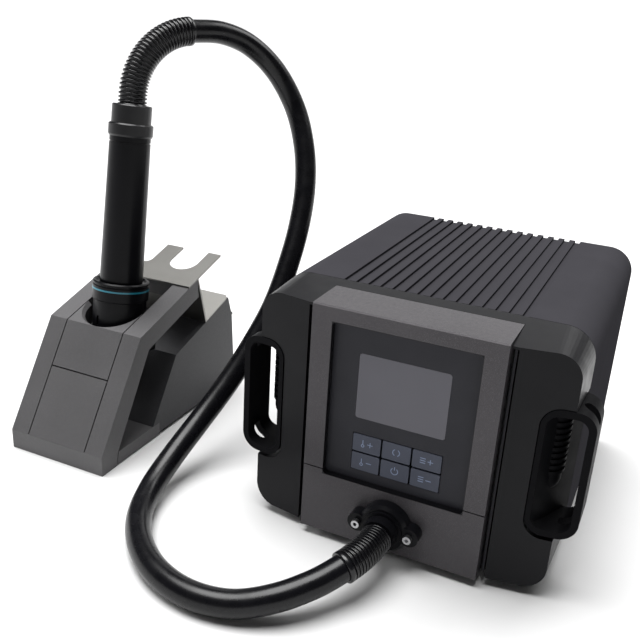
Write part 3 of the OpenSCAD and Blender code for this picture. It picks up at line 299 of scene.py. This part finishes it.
def surface(
    name, color, roughness, metallic=0.0, grain=None, cloud=0.08, spread=0.05, specular=0.5,
    brushed=None
):
    """A material with a clouded colour, uneven roughness and a fine grain.

    grain is (scale, depth in metres), cloud how far the colour varies, spread how far the
    roughness does, and brushed the stretch of the brushing lines.
    """
    n = Nodes(name)
    n.shader.inputs["Metallic"].default_value = metallic
    n.shader.inputs["Specular IOR Level"].default_value = specular
    n.link(
        n.ramp(n.noise(CLOUD_SCALE, 4), shade(color, 1 - cloud), shade(color, 1 + cloud)),
        n.shader.inputs["Base Color"],
    )
    n.link(
        n.ramp(n.noise(WEAR_SCALE, 5, brushed), roughness - spread, roughness + spread),
        n.shader.inputs["Roughness"],
    )
    if grain:
        scale, depth = grain
        n.bump(n.noise(scale, 2, brushed), GRAIN_STRENGTH, depth)
    return n.material


def flaked(name, color, flake, roughness, shaded_cut=None):
    """Dark metallic paint: a fine grain with lighter flakes in it.

    The last argument is (middle x, half width, middle z, half height) of a cut whose walls get
    painted shade: near black, standing for the shadow in the gap around the keys.
    """
    n = Nodes(name)
    n.shader.inputs["Metallic"].default_value = 0.2
    n.shader.inputs["Specular IOR Level"].default_value = 0.25
    cloud = n.ramp(n.noise(PAINT_CLOUD_SCALE, 4), shade(color, 0.93), shade(color, 1.07))
    dots = n.ramp(n.noise(FLAKE_SCALE, 1), 0, 1, FLAKE_LEVELS)
    paint = n.mix(dots, cloud, shade(flake, 1))
    if shaded_cut:
        middle_x, half_width, middle_z, half_height = shaded_cut
        axes = n.add("ShaderNodeSeparateXYZ")
        n.link(n.place, axes.inputs["Vector"])
        across = n.within(axes.outputs["X"], middle_x, half_width)
        upwards = n.within(axes.outputs["Z"], middle_z, half_height)
        # Painted shade: inside the cut's box the walls turn near black, as the shadow in the gap
        # would.
        paint = n.mix(n.product(across, upwards), paint, shade(GAP_SHADE_BLACK, 1))
    n.link(paint, n.shader.inputs["Base Color"])
    n.link(
        n.ramp(n.noise(PAINT_WEAR_SCALE, 3), roughness - 0.05, roughness + 0.06),
        n.shader.inputs["Roughness"],
    )
    n.bump(n.noise(PAINT_GRAIN_SCALE, 2), PAINT_GRAIN_STRENGTH, PAINT_GRAIN_DEPTH)
    return n.material


def make_materials():
    return {
        "cover": surface(
            "cover_paint", (0.038, 0.037, 0.0418), 0.5, grain=(2600, 0.00003), cloud=0.035,
            specular=0.0
        ),
        "bezel": surface(
            "bezel_plastic", (0.008, 0.008, 0.0092), 0.36, grain=(2200, 0.00002), specular=0.12
        ),
        "frame": flaked(
            "frame_grey", (0.0505, 0.0468, 0.0515), (0.15, 0.15, 0.15), 0.34,
            # The frame's window cut, whose walls get painted shade.
            shaded_cut=(0.096, 0.0483, 0.105, 0.0546)
        ),
        "panel": surface(
            "panel_dark", (0.024, 0.024, 0.029), 0.4, grain=(3000, 0.00002), specular=0.15
        ),
        "screen": surface(
            "display_grey", (0.093, 0.091, 0.107), 0.14, cloud=0.02, spread=0.02, specular=0.3
        ),
        "key": surface(
            "key_plastic", (0.058, 0.064, 0.086), 0.4, grain=(3000, 0.00002), specular=0.2
        ),
        "legend": surface("legend_ink", (0.16, 0.2, 0.3), 0.5, cloud=0.04),
        "handle": surface(
            "handle_plastic", (0.0052, 0.0052, 0.006), 0.5, grain=(2200, 0.00002), specular=0.03
        ),
        "rubber": surface(
            "rubber_black", (0.003, 0.003, 0.004), 0.25, cloud=0.2, specular=0.42
        ),
        "hose": surface("hose_black", (0.003, 0.003, 0.004), 0.27, cloud=0.15, specular=0.3),
        "gun": surface(
            "gun_plastic", (0.004, 0.004, 0.005), 0.3, spread=0.02, specular=0.12
        ),
        "collar": surface(
            "collar_plastic", (0.006, 0.006, 0.007), 0.32, grain=(2400, 0.00001), specular=0.3
        ),
        "teal": surface("teal_plastic", (0.008, 0.15, 0.21), 0.3, cloud=0.05),
        "holder": flaked("holder_paint", (0.086, 0.084, 0.087), (0.22, 0.22, 0.22), 0.4),
        "block": flaked("block_paint", (0.035, 0.035, 0.038), (0.1, 0.1, 0.1), 0.4),
        "stainless": surface(
            "stainless_steel", (0.21, 0.206, 0.195), 0.36, metallic=1, cloud=0.03, spread=0.015,
            brushed=(1, 14, 14)
        ),
        "steel": surface("screw_steel", (0.42, 0.42, 0.43), 0.3, metallic=1, cloud=0.1),
        "zinc": surface("zinc_plate", (0.42, 0.43, 0.44), 0.4, metallic=1, cloud=0.15),
        "board": surface("board_green", (0.02, 0.13, 0.05), 0.38, grain=(1500, 0.00003)),
        "dark_board": surface("board_dark_green", (0.003, 0.009, 0.005), 0.4, specular=0.1),
        "winding": surface("winding_yellow", (0.45, 0.3, 0.06), 0.45, grain=(900, 0.00005)),
        "aluminium": surface(
            "aluminium_bare", (0.7, 0.7, 0.72), 0.35, metallic=1, brushed=(1, 1, 12),
            grain=(500, 0.00003)
        ),
        "fan": surface("fan_plastic", (0.6, 0.57, 0.5), 0.45, grain=(1500, 0.00003)),
        "housing": surface("housing_plastic", (0.04, 0.045, 0.05), 0.45, grain=(1500, 0.00004)),
        "ceramic": surface("ceramic_white", (0.72, 0.69, 0.62), 0.6, grain=(1200, 0.00004)),
        "brass": surface("brass_plated", (0.7, 0.5, 0.2), 0.3, metallic=1, cloud=0.08),
        "floor": surface("floor_pale", (0.64, 0.64, 0.64), 0.7, cloud=0.005, specular=0.2),
    }


NODE_MATERIALS = {
    "cover": ["top_cover", "rear_panel"],
    "bezel": ["front_bezel"],
    "frame": ["display_frame", "lower_panel"],
    "panel": ["key_panel", "trim_left", "trim_right", "mains_inlet", "power_switch"],
    "screen": ["display_window", "display_module"],
    "key": KEY_NODES,
    "handle": ["handle_left", "handle_right"],
    "rubber": ["feet", "holder_pads", "flange_relief", "gun_relief"],
    "gun": ["gun_tube", "gun_lower_collar", "gun_barrel", "holder_cup", "hose_flange"],
    "collar": ["gun_top_collar", "gun_cap", "fuse_drawer", "power_rocker"],
    "teal": ["gun_ring"],
    "holder": ["holder_frame", "holder_front_panel", "holder_top_panel", "holder_base"],
    "block": ["holder_block"],
    "stainless": ["holder_bracket"],
    "steel": ["flange_screws", "motor_shaft", "nozzle"],
    "zinc": ["base_chassis", "handle_screws", "cover_screws", "rear_screws", "blower_motor"],
    "board": ["power_board"],
    "dark_board": ["control_board"],
    "winding": ["transformer"],
    "aluminium": ["heat_sink"],
    "fan": ["impeller"],
    "housing": ["blower_housing", "blower_lid", "air_duct"],
    "ceramic": ["heater_sleeve", "heater_core"],
    "brass": ["ground_jack"],
    "hose": ["air_hose"],
}


def paint_nodes(materials):
    for key, names in NODE_MATERIALS.items():
        for name in names:
            mesh = nodes[name].data
            mesh.materials.clear()
            mesh.materials.append(materials[key])


# Small rounded edges that catch the light, in metres.
EDGES = {
    0.0012: ["front_bezel"],
    0.001: ["holder_block"],
    0.0008: [
        "display_frame", "lower_panel", "holder_frame", "holder_front_panel", "holder_top_panel"
    ],
    0.0006: ["handle_left", "handle_right", "hose_flange", "mains_inlet", "power_switch"],
    0.0005: KEY_NODES + ["fuse_drawer", "power_rocker"],
    0.0003: ["holder_base", "key_panel", "holder_bracket", "top_cover"],
}


def soften_edges():
    for width, names in EDGES.items():
        for name in names:
            bevel = nodes[name].modifiers.new("edges", "BEVEL")
            bevel.width = width
            bevel.segments = 2
            bevel.limit_method = "ANGLE"
            bevel.angle_limit = radians(40)


# Strain reliefs

# One rib, as (share of the pitch, share of the depth): a groove, then a rounded top.
RIB_PROFILE = (
    (0.0, 0.0), (0.2, 0.0), (0.215, 0.5), (0.27, 0.82), (0.36, 0.97),
    (0.5, 1.0), (0.64, 0.97), (0.73, 0.82), (0.785, 0.5), (0.8, 0.0)
)
RIB_DEPTH = 0.0013

# The smooth cuff at a relief's end: length, rounding, smallest step, and inner edge, which lies
# within the hose.
CUFF = 0.0034
CUFF_ROUND = 0.0004
CUFF_STEP = 0.00005
CUFF_INNER = HOSE_RADIUS - 0.0004

# Bends of the two reliefs, as in part.scad: radius in metres, then degrees.
FLANGE_BEND, FLANGE_ANGLE = 0.0636, 32.3
GUN_BEND, GUN_ANGLE = 0.0528, 80.4

# The handpiece: where it stands, its lean in degrees, and how far up its axis the relief begins.
GUN_FOOT = (-0.2645, 0.0703, 0.1133)
GUN_TILT = -8.53
GUN_RELIEF_BASE = 0.1473
GUN_STRAIGHT = 0.008


def relief_rows(first, start, end, count, radius):
    """Rows of (length along the middle line, radius) for a relief that ends in a smooth cuff.

    The ribs begin at start, and a first row below zero makes a smooth foot under them.
    """
    pitch = (end - CUFF - start) / count
    low = radius - RIB_DEPTH
    rows = [(first, radius), (start - CUFF_ROUND / 2, radius)] if first < 0 else [(first, low)]
    for k in range(count):
        rows += [(start + (k + along) * pitch, low + RIB_DEPTH * up) for along, up in RIB_PROFILE]
    return rows + [
        (end - CUFF, low),
        (end - CUFF + CUFF_STEP, radius - CUFF_ROUND),
        (end - CUFF + CUFF_ROUND, radius),
        (end - CUFF_ROUND, radius),
        (end - CUFF_STEP, radius - CUFF_ROUND),
        (end, radius - CUFF_ROUND - 2 * CUFF_STEP),
        (end + CUFF_STEP / 5, CUFF_INNER),
    ]


def add_relief(name, node, body, base, roll, tilt, straight, bend, rows, material):
    """A ribbed relief that stands at base, goes straight and then bends, as in part.scad."""
    turn = Matrix.Rotation(radians(tilt), 3, "X") @ Matrix.Rotation(radians(roll), 3, "Z")
    line = []
    for along, _ in rows:
        angle = max(0, along - straight) / bend
        local = Vector((bend * (1 - cos(angle)), 0, min(along, straight) + bend * sin(angle)))
        line.append(base + turn @ local)
    relief = tube(name, line, [radius for _, radius in rows], sides=48, material=material)
    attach(relief, body)
    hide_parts(node)
    return relief


def add_reliefs(materials):
    flange_end = FLANGE_BEND * radians(FLANGE_ANGLE)
    flange = add_relief(
        "flange_relief_ribs", "flange_relief", "station",
        base=at(0, -0.018, 0.028), roll=204, tilt=90, straight=0, bend=FLANGE_BEND,
        rows=relief_rows(first=0, start=0.0006, end=flange_end, count=14, radius=0.0104),
        material=materials["rubber"],
    )
    axis = Matrix.Rotation(radians(GUN_TILT), 3, "X") @ Vector((0, 0, 1))
    gun_end = GUN_STRAIGHT + GUN_BEND * radians(GUN_ANGLE)
    gun = add_relief(
        "gun_relief_ribs", "gun_relief", "handpiece",
        base=at(*GUN_FOOT) + GUN_RELIEF_BASE * axis, roll=60.5, tilt=GUN_TILT,
        straight=GUN_STRAIGHT, bend=GUN_BEND,
        rows=relief_rows(first=-0.00298, start=0.0009, end=gun_end, count=27, radius=0.0109),
        material=materials["rubber"],
    )
    return [flange, gun]


def add_hose(materials):
    reliefs = add_reliefs(materials)
    line = spline([at(*p) for p in HOSE_POINTS], steps=10)
    tucked = (
        [line[0] + HOSE_TUCK * (line[0] - line[1]).normalized()]
        + line
        + [line[-1] + HOSE_TUCK * (line[-1] - line[-2]).normalized()]
    )
    radii = [HOSE_RADIUS] * len(tucked)
    hose = tube("hose_tube", tucked, radii, sides=40, material=materials["hose"])
    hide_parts("air_hose")
    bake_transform(hose)


# Printed signs on the keys

KEY_PITCH_X = 0.0204
KEY_PITCH_Z = 0.0137
KEYS_MIDDLE_Z = 0.07135
KEY_FRONT = 0.0046
SIGN_FRONT = KEY_FRONT - 0.00004
SIGN_DEPTH = 0.0003
STROKE = 0.0006
SIGN_WIDTH = 0.0036
RING_RADIUS = 0.002

# How far the plus or minus lies to the right of a key's middle, and the picture to its left.
PLUS_SHIFT = 0.0024
PICTURE_SHIFT = 0.0026


def flat_shape(bm, outline):
    """A face on the front of the signs, from (x, z) corners."""
    bm.faces.new([bm.verts.new(at(x, SIGN_FRONT, z)) for x, z in outline])


def add_bar(bm, cx, cz, width, height):
    left, right = cx - width / 2, cx + width / 2
    low, high = cz - height / 2, cz + height / 2
    flat_shape(bm, [(left, low), (right, low), (right, high), (left, high)])


def add_arc(bm, cx, cz, radius, start, end, steps=24):
    """A band one stroke wide outside the radius, its ends in degrees clockwise from the top."""
    for k in range(steps):
        a, b = (radians(start + (end - start) * j / steps) for j in (k, k + 1))
        outer = radius + STROKE
        corners = ((radius, a), (radius, b), (outer, b), (outer, a))
        flat_shape(bm, [(cx + r * sin(angle), cz + r * cos(angle)) for r, angle in corners])


def thicken(bm, depth):
    """Turns flat shapes into closed plates that reach back by depth."""
    bmesh.ops.remove_doubles(bm, verts=bm.verts[:], dist=0.000001)
    fronts = bm.faces[:]
    rims = [edge.verts[:] for edge in bm.edges if edge.is_boundary]
    backs = {vert: bm.verts.new(vert.co + Vector((0, depth, 0))) for vert in bm.verts[:]}
    for face in fronts:
        bm.faces.new([backs[vert] for vert in face.verts])
    for first, second in rims:
        bm.faces.new((first, second, backs[second], backs[first]))


def draw_side_sign(bm, x, z, column, row):
    """A thermometer (left column) or three bars (right column), with a plus or a minus."""
    add_bar(bm, x + PLUS_SHIFT, z, SIGN_WIDTH, STROKE)
    if row > 0:
        add_bar(bm, x + PLUS_SHIFT, z + 0.00105, STROKE, 0.0015)
        add_bar(bm, x + PLUS_SHIFT, z - 0.00105, STROKE, 0.0015)
    if column < 0:
        add_bar(bm, x - PICTURE_SHIFT, z + 0.0011, STROKE, 0.003)
        add_arc(bm, x - PICTURE_SHIFT, z - 0.0016, 0.0006, 0, 360)
    else:
        for k in (-1, 0, 1):
            add_bar(bm, x - PICTURE_SHIFT, z + k * 0.0016, SIGN_WIDTH, STROKE)


def draw_middle_sign(bm, x, z, row):
    """A split ring (upper row) or a power sign (lower row)."""
    if row > 0:
        add_arc(bm, x, z, RING_RADIUS, 25, 155)
        add_arc(bm, x, z, RING_RADIUS, 205, 335)
    else:
        add_arc(bm, x, z, RING_RADIUS, 35, 325)
        add_bar(bm, x, z + 0.002, STROKE, 0.0024)


def add_legends(materials):
    for name, (column, row) in KEY_PLACES.items():
        x, z = column * KEY_PITCH_X, KEYS_MIDDLE_Z + row * KEY_PITCH_Z
        bm = bmesh.new()
        if column:
            draw_side_sign(bm, x, z, column, row)
        else:
            draw_middle_sign(bm, x, z, row)
        thicken(bm, SIGN_DEPTH)
        sign_piece = finish_mesh("legend_" + name, bm, materials["legend"], smooth=False)
        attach(sign_piece, "key_" + name + "_body")


# Studio

# Slopes of the floor and of the backdrop above it, as (reach, height) pairs.
FLOOR_RISE = ((6, 0), (7.5, 0.06), (9, 0.28), (10.5, 0.68), (12, 1.2), (14, 1.95))
BACKDROP_RISE = (FLOOR_RISE[-1], (16, 2.9), (18, 4.1), (20, 5.6), (22, 7.6))
BOWL_SIDES = 72


def add_bowl(name, profile, closed, material):
    """A ring of slopes around the middle, with or without a flat bottom."""
    bm = bmesh.new()
    turns = [2 * pi * k / BOWL_SIDES for k in range(BOWL_SIDES)]
    rings = [
        [bm.verts.new((reach * cos(turn), reach * sin(turn), height)) for turn in turns]
        for reach, height in profile
    ]
    if closed:
        bm.faces.new(rings[0])
    skin(bm, rings)
    bowl = finish_mesh(name, bm, material)
    return bowl


def add_floor(material):
    """A wide floor whose far edge rises gently, and above it a backdrop for low views.

    The backdrop is seen by the camera alone, so it adds no light or reflection.
    """
    add_bowl("floor", FLOOR_RISE, True, material)
    backdrop = add_bowl("backdrop", BACKDROP_RISE, False, material)
    backdrop.visible_diffuse = False
    backdrop.visible_glossy = False
    backdrop.visible_shadow = False


def aim(obj, place, target):
    obj.location = place
    obj.rotation_euler = (Vector(target) - Vector(place)).to_track_quat("-Z", "Y").to_euler()
    bpy.context.collection.objects.link(obj)
    return obj


def add_light(name, place, target, size, power):
    """A softbox of a size in metres and a power in watts."""
    data = bpy.data.lights.new(name, "AREA")
    data.shape = "RECTANGLE"
    data.size, data.size_y = size
    data.energy = power
    return aim(bpy.data.objects.new(name, data), place, target)


def add_sky_light(name, place, strength, spread):
    """A far light that shines from place to the middle, its disc spread over some degrees."""
    data = bpy.data.lights.new(name, "SUN")
    data.energy = strength
    data.angle = radians(spread)
    aim(bpy.data.objects.new(name, data), place, (0, 0, 0))


def add_studio(materials):
    add_floor(materials["floor"])
    world = bpy.data.worlds.new("studio")
    bpy.context.scene.world = world
    world.use_nodes = True
    background = world.node_tree.nodes["Background"]
    background.inputs["Color"].default_value = (1, 1, 1, 1)
    background.inputs["Strength"].default_value = 0.05
    add_sky_light("top_light", (-0.22, 0.05, 1.2), 5.5, 46)
    left = add_light("left_softbox", (-1.3, -0.3, 0.45), (-0.1, 0, 0.12), (0.7, 0.7), 12)
    # Kept out of reflections, where it would show as a hard streak.
    left.visible_glossy = False
    add_light("back_softbox", (-0.3, 2.0, 1.0), (0, 0, 0.15), (2.6, 0.9), 7.5)
    add_light("right_softbox", (0.5, 0.9, 1.4), (0.1, 0.1, 0.15), (0.8, 0.8), 10)
    view = bpy.context.scene.view_settings
    view.view_transform = "Standard"
    view.look = "None"


add_camera()
materials = make_materials()
paint_nodes(materials)
add_hose(materials)
soften_edges()
add_legends(materials)
add_studio(materials)
